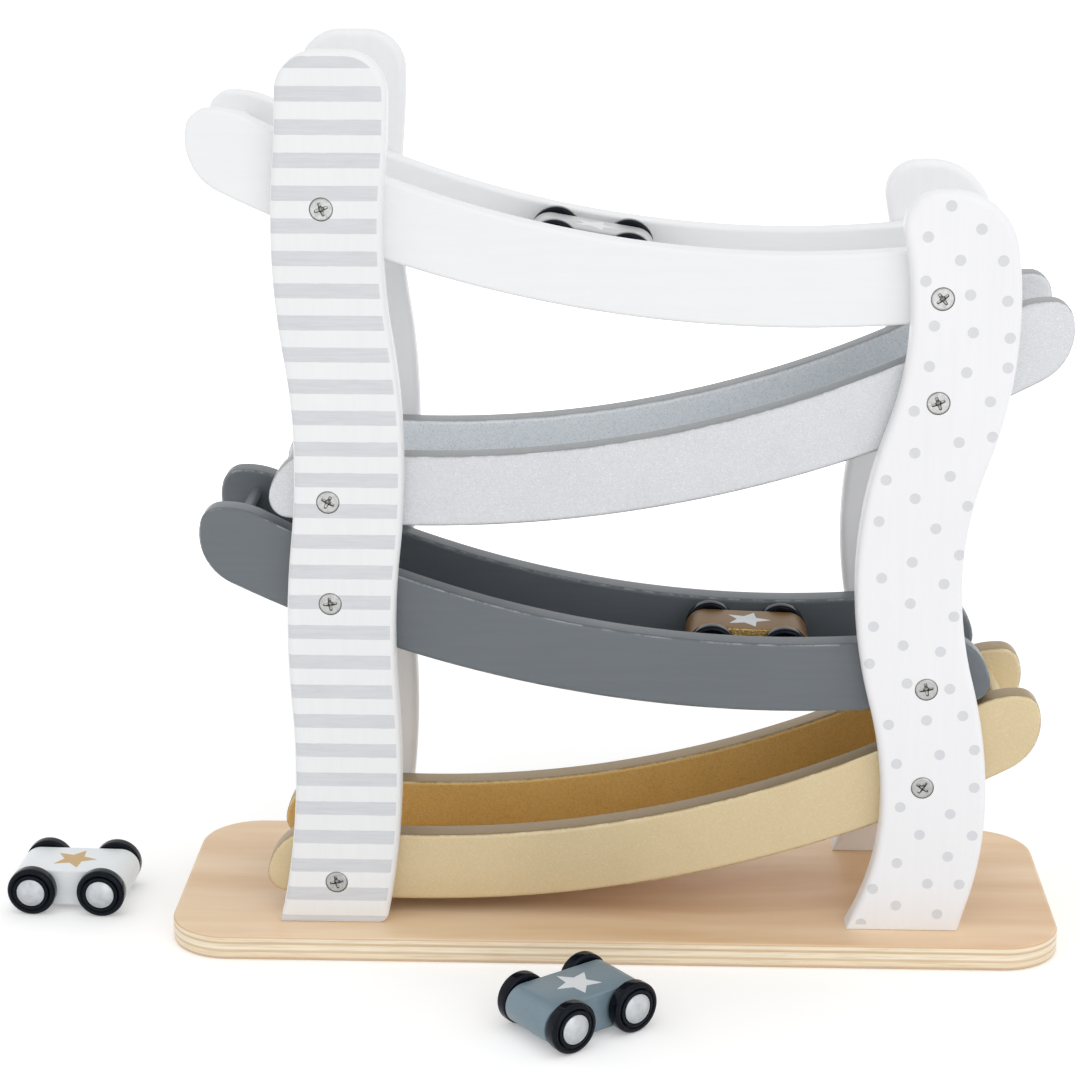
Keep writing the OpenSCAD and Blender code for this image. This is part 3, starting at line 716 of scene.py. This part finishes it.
PLY_LAYERS = [  # share of the board's thickness from below, and the tone there
    (0.0, (214, 182, 146)), (0.12, (222, 192, 156)), (0.16, (240, 222, 192)), (0.33, (246, 230, 202)),
    (0.36, (224, 198, 162)), (0.43, (228, 204, 168)), (0.47, (250, 238, 214)), (0.66, (247, 232, 204)),
    (0.69, (216, 188, 150)), (0.76, (224, 198, 162)), (0.80, (249, 236, 212)), (0.91, (244, 226, 196)),
    (0.94, (208, 174, 136)), (1.0, (226, 198, 166))]


def birch():
    """Varnished birch plywood: broad figure and fine pores on the face, and on the edge
    the layers by height, each with its own tone and streaks."""
    mat, m, bsdf = shader("BirchPly", Coat_Weight=0.2, Coat_Roughness=0.3)
    co = m.place()
    warp = m.vector("MULTIPLY", m.noise(co, 5.0, out="Color"), (0.02, 0.03, 0.0))
    figure = m.streaks(m.vector("ADD", co, warp), (7.0, 60.0, 7.0), 4.0, 0.55)
    pore = m.streaks(co, (120.0, 2600.0, 900.0), 3.0)
    top = m.mix(m.span(figure, 0.34, 0.66), srgb(243, 216, 181), srgb(228, 191, 149))
    top = m.mix(m.span(pore, 0.62, 0.78, 0.0, 0.3), top, srgb(212, 178, 141))
    edge = m.put("ValToRGB", {0: m.span(m.axis(co, 2), 0.0, BOARD_T * MM)})
    stops = edge.color_ramp.elements
    while len(stops) < len(PLY_LAYERS):
        stops.new(0.5)
    for stop, (share, tone) in zip(stops, PLY_LAYERS):
        stop.position = share
        stop.color = srgb(*tone)
    streak = m.span(m.streaks(co, (60.0, 60.0, 1500.0), 3.0), 0.45, 0.75, 0.0, 0.45)
    layers = m.mix(streak, edge.outputs[0], srgb(196, 162, 122))
    tone = m.mix(m.span(m.lean(2), 0.55, 0.8), layers, top)
    dress(m, bsdf, tone, m.span(pore, 0.3, 0.8, 0.36, 0.52), pore, 0.0001, 0.35)
    return mat


def gloss_black():
    """Black wheels: glossy, with faint scuffs that dull them in places."""
    mat, m, bsdf = shader("GlossBlack", Specular_IOR_Level=0.15, Specular_Tint=rgb(0.82, 0.91, 1.0))
    scuff = m.noise(m.place(), 420.0, 4.0, 0.7)
    tone = m.mix(m.span(scuff, 0.5, 0.8), rgb(0.003, 0.004, 0.007), rgb(0.007, 0.009, 0.014))
    dress(m, bsdf, tone, m.span(scuff, 0.3, 0.8, 0.05, 0.17), scuff, 0.00005, 0.3)
    return mat


def bright_metal(name, color, rough_lo, rough_hi, scale, painted_shade=None):
    """Plated or polished metal with small dents and uneven polish, darker where the mesh's
    painted-shade mark is high, as in a screw's recess and at its rim, where shade and dark reflections
    are painted."""
    mat, m, bsdf = shader(name, Metallic=1.0)
    dents = m.noise(m.place(), scale, 3.0, 0.6)
    dim = rgb(*(c * 0.82 for c in color[:3]))
    tone = m.mix(m.span(dents, 0.4, 0.75), color, dim)
    if painted_shade:
        # Painted shade: the darker tone where the mesh's mark is high
        tone = m.mix(m.put("Attribute", attribute_name="painted_shade").outputs["Fac"], tone, painted_shade)
    dress(m, bsdf, tone, m.span(dents, 0.3, 0.75, rough_lo, rough_hi), dents, 0.00008, 0.35)
    return mat


MATS = {
    "striped": striped(),
    "dotted": painted("DottedWhite", srgb(243, 243, 245), srgb(236, 236, 239),
                      fibres=(500.0, 500.0, 30.0)),
    "dots": painted("DotInk", srgb(219, 220, 224), srgb(212, 214, 219),
                    fibres=(700.0, 700.0, 700.0), fibre=0.5),
    "white": painted("WhitePaint", srgb(241, 242, 243), srgb(235, 236, 238)),
    # Its arris tone is a lighter grey, laid in broken lines along the rounded arrises
    "dark": painted("DarkPaint", srgb(104, 110, 115), srgb(96, 102, 107), fibre=0.4, rough=0.4,
                    arris_tone=srgb(168, 172, 175)),
    # Each metal paint's inner tone is painted light in the channel and its edge tone painted shade on
    # the narrow edges
    "silver": metallic("SilverPaint", 134.0, face=(srgb(209, 211, 214), srgb(191, 193, 197)),
                       inner=(srgb(238, 242, 245), srgb(222, 227, 230)),
                       edge=(srgb(156, 158, 160), srgb(142, 145, 147)), bright=srgb(228, 230, 232)),
    "gold": metallic("GoldPaint", 129.0, face=(srgb(215, 197, 158), srgb(203, 182, 141)),
                     inner=(srgb(228, 192, 120), srgb(200, 160, 90)),
                     edge=(srgb(164, 142, 108), srgb(148, 126, 92)), bright=srgb(232, 218, 184),
                     amount=0.32),
    "birch": birch(),
    "black": gloss_black(),
    "cap": bright_metal("CapMetal", srgb(202, 205, 208), 0.44, 0.58, 300.0),
    # The screw's darker tone is painted shade in its recess and at its rim
    "screw": bright_metal("ScrewNickel", srgb(184, 184, 183), 0.3, 0.5, 700.0, painted_shade=srgb(92, 91, 89)),
    "steel": bright_metal("AxleSteel", srgb(190, 191, 193), 0.25, 0.4, 500.0),
    "car_silver": car_paint("CarSilver", srgb(196, 197, 199), srgb(180, 181, 184), metal=0.2),
    # Its golden flakes on the flat faces are sparkle with a painted sheen
    "car_bronze": car_paint("CarBronze", srgb(130, 95, 42), srgb(112, 79, 30), metal=0.3,
                            glitter_and_sheen=srgb(220, 184, 108), coat=0.03),
    "car_white": car_paint("CarWhite", srgb(235, 239, 241), srgb(227, 232, 235)),
    "car_blue": car_paint("CarBlue", srgb(121, 140, 151), srgb(108, 128, 140)),
    "star_white": painted("StarWhite", srgb(226, 229, 232), srgb(217, 220, 224), fibre=0.4),
    "star_gold": painted("StarGold", srgb(206, 172, 118), srgb(192, 156, 100), fibre=0.4),
}

# ---------- board and uprights
feet = [x + sway * (turns[0, 1] + turns[1, 1]) / 2 for x, sway, turns in (
    (LEFT_X, LEFT_SWAY, LEFT_TURNS), (RIGHT_X, RIGHT_SWAY, RIGHT_TURNS))]
board_holes = [(x + k * FOOT_SCREW_STEP, s * (SIDE_Y + UPRIGHT_T / 2), BASE_SINK_R)
               for x in feet for k in (-1, 1) for s in (-1, 1)]
board = plate(round_rect(BOARD_W, BOARD_D, BOARD_CORNER), -BOARD_T, 0.0, BOARD_EASE,
              holes_back=board_holes)
laid_flat = placed(board, lambda v: np.stack([v[:, 0], v[:, 2], -v[:, 1]], 1))
piece("board", laid_flat, MATS["birch"], "frame", ["base_board"])


def screw_height(track, x):
    """Height at x of the circle on which a track's screws lie, round its arc's centre."""
    cx, cz = TRACKS[track][0], TRACKS[track][1] + RAIL_R
    return cz - math.sqrt((RAIL_R + SCREW_DROP) ** 2 - (x - cx) ** 2)


for side, outline, x, finish in (("left", left_outline(), LEFT_X, "striped"),
                                 ("right", right_outline(), RIGHT_X, "dotted")):
    # The edge is well rounded all the way but for the foot, which stands flat on the board
    rise = np.clip((outline[0][:, 1] - BOARD_T - FOOT_EASE) / EASE_RISE, 0, 1)
    ease = FOOT_EASE + (UPRIGHT_EASE - FOOT_EASE) * rise
    holes = [(x, screw_height(t, x), SIDE_SINK_R) for t in TRACKS]
    for place, y0, y1, front, back in (("front", -FACE_Y, -SIDE_Y, holes, ()),
                                       ("back", SIDE_Y, FACE_Y, (), holes)):
        name = "%s_%s_upright" % (side, place)
        shape = placed(plate(outline, y0, y1, ease, front, back))
        piece(name + "_wood", shape, MATS[finish], "frame", [name])

DOT_R, DOT_PROUD, DOT_T, EDGE_CLEAR = 1.92, 0.025, 0.12, 0.35
DOTS = [
    (110.4, 270.0), (120.7, 262.3), (103.1, 259.6), (114.1, 251.8), (128.4, 251.7), (102.9, 244.7),
    (117.9, 240.1), (130.4, 238.1), (106.3, 229.5), (119.4, 227.3), (131.8, 225.5), (105.2, 215.6),
    (131.6, 215.3), (117.8, 213.6), (126.2, 203.6), (100.7, 200.1), (127.5, 191.3), (116.3, 189.3),
    (101.5, 185.5), (113.8, 177.4), (92.1, 175.9), (102.2, 169.4), (120.2, 166.9), (90.2, 161.2),
    (109.7, 158.8), (118.2, 149.4), (102.1, 146.7), (91.8, 140.9), (113.3, 139.0), (102.0, 131.8),
    (117.2, 127.2), (89.6, 123.3), (100.1, 116.5), (113.1, 114.4), (88.7, 109.7), (102.0, 102.6),
    (116.9, 100.7), (121.8, 90.8), (109.3, 89.0), (96.1, 87.2), (126.5, 78.2), (114.4, 76.2),
    (99.4, 72.6), (127.0, 64.0), (101.3, 56.3), (119.0, 53.9), (108.5, 45.9), (127.1, 45.8),
    (118.8, 37.7), (100.9, 35.0), (112.0, 27.2), (123.3, 27.1), (92.7, 24.9), (101.1, 18.6),
    (115.9, 15.5), (88.9, 11.5)]


def edge_distance(points, outline):
    """Distance of each point to the nearest straight piece of a closed outline, and the
    inward normal there."""
    a, b = outline[0], np.roll(outline[0], -1, 0)
    ab = b - a
    t = np.clip(((points[:, None] - a) * ab).sum(2) / (ab ** 2).sum(1), 0, 1)
    gap = points[:, None] - (a + t[..., None] * ab)
    k = np.linalg.norm(gap, axis=2).argmin(1)
    near = gap[np.arange(len(points)), k]
    inward = np.stack([-ab[k, 1], ab[k, 0]], 1) / np.linalg.norm(ab[k], axis=1)[:, None]
    return (near * inward).sum(1), inward


def dot(x, z, outline):
    """A printed dot that lies on the upright: rings of points whose depth is nought on the
    flat face and ease - sqrt(ease^2 - (ease - d)^2) at a distance d within the edge."""
    n, ease, radii = 28, UPRIGHT_EASE, np.array([0.5, 1.0, 1.5, 1.8, 2.05]) / 2.05 * DOT_R
    t = round_angles(n)
    across, up = np.outer(radii, np.cos(t)).ravel(), np.outer(radii, np.sin(t)).ravel()
    flat = np.concatenate([np.stack([x + across, z + up], 1), [[x, z]]])
    d, inward = edge_distance(flat, outline)
    flat += inward * np.clip(EDGE_CLEAR - d, 0, None)[:, None]
    d = np.clip(d, EDGE_CLEAR, ease)
    deep = ease - np.sqrt(ease ** 2 - (ease - d) ** 2)
    top = np.stack([flat[:, 0], -FACE_Y + deep - DOT_PROUD, flat[:, 1]], 1)
    into = [0, DOT_T, 0]
    verts = np.concatenate([top[:-1], top[-1 - n:-1] + into, top[-1:], top[-1:] + into])
    rings = len(radii) + 1
    faces = grid_faces(rings, n) + fan(rings * n, 0, n)
    return verts, faces + fan(rings * n + 1, (rings - 1) * n, n, flip=True)


right_edge = right_outline()
for place, s in (("front", 1), ("back", -1)):
    shapes = [placed(dot(x, z, right_edge), lambda v: v * [1, s, 1]) for x, z in DOTS]
    piece("right_%s_dots" % place, merged(shapes), MATS["dots"], "frame")


# ---------- tracks
def on_track(outline, track):
    """An outline moved from its own arc centre to a track: turned, mirrored and shifted."""
    p, n = outline
    x, z, left, turn = TRACKS[track]
    c, s = heading(turn)
    m = np.array([[c, s], [-s, c]])
    p, n = p @ m, n @ m
    if left:
        p, n = p[::-1] * [-1, 1], n[::-1] * [-1, 1]
    return p + [x, z + RAIL_R], n


REACH = CHANNEL / 2 + GROOVE
TRACK_PARTS = [  # name, outline, from y, to y, radius of its edges
    ("front_side", side_outline(), -SIDE_Y, -CHANNEL / 2, 1.3),
    ("back_side", side_outline(), CHANNEL / 2, SIDE_Y, 1.3),
    ("floor", floor_outline(), -REACH, REACH, 0.3),
    ("end_wall", wall_outline(), -REACH, REACH, 0.2),
]
for track in TRACKS:
    for part, outline, y0, y1, ease in TRACK_PARTS:
        name = "%s_%s" % (track, part)
        shape = placed(plate(on_track(outline, track), y0, y1, ease))
        piece(name + "_wood", shape, MATS[track], "frame", [name])

# ---------- screws
SLOT_TURNS = {"left": (20, 62, 8, 12), "right": (38, 22, 12, 55)}  # from the top track down
BACK_TURN, BASE_TURN, BASE_SUNK = 31, 17, 0.06


def screw(turn, length, move):
    """A whole screw, head and plain shank, and how much painted shade each of its points takes."""
    head, painted_shade = screw_head(turn)
    shank = lathe([(0, HEAD_T), (SHANK_R, HEAD_T), (SHANK_R, length - 1), (0, length)], 32)
    shape = placed(merged([placed(head), placed(shank)]), move)
    return shape, np.concatenate([painted_shade, np.zeros(len(shank[0]))])


def screws(node, made):
    painted_shade = np.concatenate([g for _, g in made])
    shape = merged([s for s, _ in made])
    piece(node + "_nickel", shape, MATS["screw"], "frame", [node], painted_shade)


made = []
for side, x in (("left", LEFT_X), ("right", RIGHT_X)):
    for track, turn in zip(TRACKS, SLOT_TURNS[side]):
        z = screw_height(track, x)
        for s, more in ((1, 0), (-1, BACK_TURN)):
            move = lambda v: np.stack([v[:, 0] + x, s * (v[:, 1] - FACE_Y), v[:, 2] + z], 1)
            made.append(screw(turn + more, SIDE_SCREW_L, move))
screws("side_screws", made)
made = []
for k, (x, y, _) in enumerate(board_holes):
    move = lambda v: np.stack([v[:, 0] + x, v[:, 2] + y, v[:, 1] + BASE_SUNK], 1)
    made.append(screw(BASE_TURN * k, BASE_SCREW_L, move))
screws("base_screws", made)


# ---------- cars
def track_place(track, angle):
    """Moves a car's own points into a track: they turn by the angle round the arc's centre,
    their axles on the circle on which they ride."""
    x0, z0 = TRACKS[track][0], TRACKS[track][1] + RAIL_R
    c, s = heading(angle)
    return lambda v: np.stack([x0 + v[:, 0] * c + (v[:, 2] - RIDE_R) * s, v[:, 1],
                               z0 - v[:, 0] * s + (v[:, 2] - RIDE_R) * c], 1)


def floor_place(x0, y0, yaw):
    """Moves a car's own points to a place on the floor, turned by yaw degrees."""
    c, s = heading(yaw)
    return lambda v: np.stack([x0 + v[:, 0] * c - v[:, 1] * s, y0 + v[:, 0] * s + v[:, 1] * c,
                               v[:, 2] + WHEEL_R], 1)


def stadium():
    """Side view of a car's body: two flat edges between two half rounds."""
    r, x = CAR_H / 2, CAR_L / 2 - CAR_H / 2
    return joined([
        line([-x, -r], [x, -r], [0, -1]), arc((x, 0), r, (x, -r), (x + r, 0)),
        arc((x, 0), r, (x + r, 0), (x, r)), line([x, r], [-x, r], [0, 1]),
        arc((-x, 0), r, (-x, r), (-x - r, 0)), arc((-x, 0), r, (-x - r, 0), (-x, -r))])


def round_to(p, q, c, r, n=6):
    """Quarter-round points from p to q about c, for a profile."""
    return arc(c, r, p, q, step=r * math.pi / 2 / n)[0].tolist()


def wheel_profile():
    """Radius and height over a wheel: flat back, round tread shoulders, a groove, then a
    raised round ring beside the hub cap."""
    w, r, back, front = WHEEL_W, WHEEL_R, 1.0, 1.4
    tread = [(AXLE_R, 0.0), (r - back, 0.0)]
    tread += round_to((r - back, 0.0), (r, back), (r - back, back), back)
    tread += round_to((r, w - front), (r - front, w), (r - front, w - front), front)
    ring = [  # radius, and depth below the wheel's outer face
        (r - front, 0.0), (7.45, 0.02), (7.25, 0.16), (7.1, 0.62), (6.85, 0.72), (6.65, 0.45),
        (6.5, 0.12), (6.25, 0.0), (5.75, 0.02), (5.45, 0.18), (5.35, 0.45), (5.3, 0.8), (AXLE_R, 0.8)]
    return tread + [(a, w - b) for a, b in ring]


def cap_profile():
    """A hub cap: a short upright rim and a dome of height 1 - (r / 5.05)^2.3, which is
    flat in the middle."""
    t = np.linspace(0, 1, 14)
    r = 5.0 * np.sin(t[::-1] * math.pi / 2) ** 0.92
    dome = [(a, CAP_H * (1 - (a / 5.05) ** 2.3)) for a in r[:-1]]
    return [(0, -0.6), (4.9, -0.6), (5.2, -0.2), (5.15, 0.1)] + dome + [(0, CAP_H)]


def star():
    """Five-pointed star with its inner corners on a share of its radius and one tip ahead."""
    k = np.arange(10)
    a = k * math.pi / 5
    r = np.where(k % 2 == 0, STAR_R, STAR_R * STAR_WAIST)
    return np.stack([r * np.cos(a), r * np.sin(a)], 1)


CARS = {  # angle along the track's arc, or x, y and heading on the floor; paints
    "silver": (track_place("white", 9.85), "car_silver", "star_white"),
    "bronze": (track_place("dark", 1.78), "car_bronze", "star_white"),
    "white": (floor_place(-202.3, -3.4, -2.0), "car_white", "star_gold"),
    "blue": (floor_place(-11.4, -102.6, 218.5), "car_blue", "star_white"),
}
BODY = plate(stadium(), -CAR_W / 2, CAR_W / 2, CAR_EASE, steps=4)
STAR = prism(star(), -STAR_SUNK, STAR_PROUD)
for car, (move, paint, star_paint) in CARS.items():
    body = car + "_car"
    lay = lambda v: np.stack([v[:, 0], v[:, 2], v[:, 1] + CAR_H / 2], 1)
    piece(body + "_wood", placed(BODY, move), MATS[paint], body, [body + "_body"])
    piece(body + "_star", placed(STAR, lambda v: move(lay(v))), MATS[star_paint], body)
    for end, s in (("front", 1), ("rear", -1)):
        wheels, caps = [], []
        for k in (-1, 1):
            at = lambda v, y: move(np.stack([
                v[:, 0] + s * WHEELBASE / 2, k * (v[:, 1] + y), v[:, 2]], 1))
            wheels.append(placed(lathe(wheel_profile()), lambda v: at(v, WHEEL_Y)))
            caps.append(placed(lathe(cap_profile(), 64), lambda v: at(v, WHEEL_Y + WHEEL_W)))
        name = "%s_%s" % (body, end)
        piece(name + "_tyres", merged(wheels), MATS["black"], name + "_wheelset",
              [name + "_wheels"])
        piece(name + "_domes", merged(caps), MATS["cap"], name + "_wheelset",
              [name + "_caps"])
        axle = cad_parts[name + "_axle"]
        axle.data.materials.clear()
        axle.data.materials.append(MATS["steel"])


# ---------- room, light and camera
def seen_rays(m):
    """1 for rays by which the background is seen, straight, in a reflection or through glass."""
    path = m.put("LightPath").outputs
    direct = m.math("MAXIMUM", path["Is Camera Ray"], path["Is Glossy Ray"])
    return m.math("MAXIMUM", direct, path["Is Transmission Ray"])


def studio_floor(size=6.0, pale=0.9):
    """A pale floor that takes shadows and glows to white away from the toy, but only for
    rays by which it is seen, so it sheds no light on the toy."""
    mesh = bpy.data.meshes.new("studio_floor")
    corners = [(-size, -size, 0), (size, -size, 0), (size, size, 0), (-size, size, 0)]
    mesh.from_pydata(corners, [], [(0, 1, 2, 3)])
    into_scene("studio_floor", mesh)
    mat = bpy.data.materials.new("StudioFloor")
    mat.use_nodes = True
    m, nodes = Maker(mat.node_tree), mat.node_tree.nodes
    nodes.remove(nodes["Principled BSDF"])
    diffuse = m.put("BsdfDiffuse", {"Color": rgb(pale, pale, pale)}).outputs[0]
    away = m.put("VectorMath", {0: m.place()}, operation="LENGTH").outputs["Value"]
    glow = m.put("Emission", {"Color": rgb(1, 1, 1), "Strength": m.span(away, 0.35, 0.9, 0.24, 1.0)})
    both = m.put("AddShader", {0: diffuse, 1: glow.outputs[0]}).outputs[0]
    pick = m.put("MixShader", {0: seen_rays(m), 1: diffuse, 2: both})
    m.link(pick.outputs[0], nodes["Material Output"].inputs["Surface"])
    mesh.materials.append(mat)


def studio_world(ambient=0.87):
    """White all round: full strength where it is seen, a little less as light."""
    world = bpy.data.worlds.new("Studio")
    scene.world = world
    world.use_nodes = True
    m = Maker(world.node_tree)
    back = world.node_tree.nodes["Background"].inputs
    back["Color"].default_value = rgb(1, 1, 1)
    m.link(m.span(seen_rays(m), 0.0, 1.0, ambient, 1.0), back["Strength"])


def softbox(name, place, target, width, power):
    """A square lamp, its width in metres and power in watts, that looks at the target."""
    lamp = bpy.data.lights.new(name, "AREA")
    lamp.shape = "SQUARE"
    lamp.size = width
    lamp.energy = power
    obj = into_scene(name, lamp)
    obj.location = place
    obj.rotation_euler = (Vector(target) - Vector(place)).to_track_quat("-Z", "Y").to_euler()


def photo_camera(place, yaw, pitch, roll, focal_px, photo_px=1080, sensor=36):
    """The camera of the photograph: its focal length in the photo's pixels, angles in
    degrees (yaw to the left, pitch down), place in metres."""
    yaw, pitch, roll = map(math.radians, (yaw, pitch, roll))
    flat = math.cos(pitch)
    forward = Vector((-math.sin(yaw) * flat, math.cos(yaw) * flat, -math.sin(pitch)))
    across = Vector((math.cos(yaw), math.sin(yaw), 0))
    camera = bpy.data.cameras.new("camera")
    camera.lens = focal_px / photo_px * sensor
    camera.sensor_width = sensor
    camera.clip_start, camera.clip_end = 0.05, 30
    cam = into_scene("camera", camera)
    turn = Matrix((across, across.cross(forward), -forward)).transposed().to_4x4()
    cam.matrix_world = Matrix.Translation(place) @ (turn @ Matrix.Rotation(roll, 4, "Z"))
    scene.camera = cam


studio_floor()
studio_world()
softbox("key", (0.95, -1.8, 0.95), (0, 0, 0.15), 1.6, 7.0)
softbox("fill", (-1.3, -1.0, 0.9), (0, 0, 0.12), 1.2, 1.0)
softbox("top", (0.3, -0.2, 2.0), (0, 0, 0.1), 1.5, 2.0)
photo_camera((0.0062, -0.9262, 0.4112), yaw=2.09, pitch=16.23, roll=-0.03, focal_px=2672.6)
scene.view_settings.view_transform = "Standard"
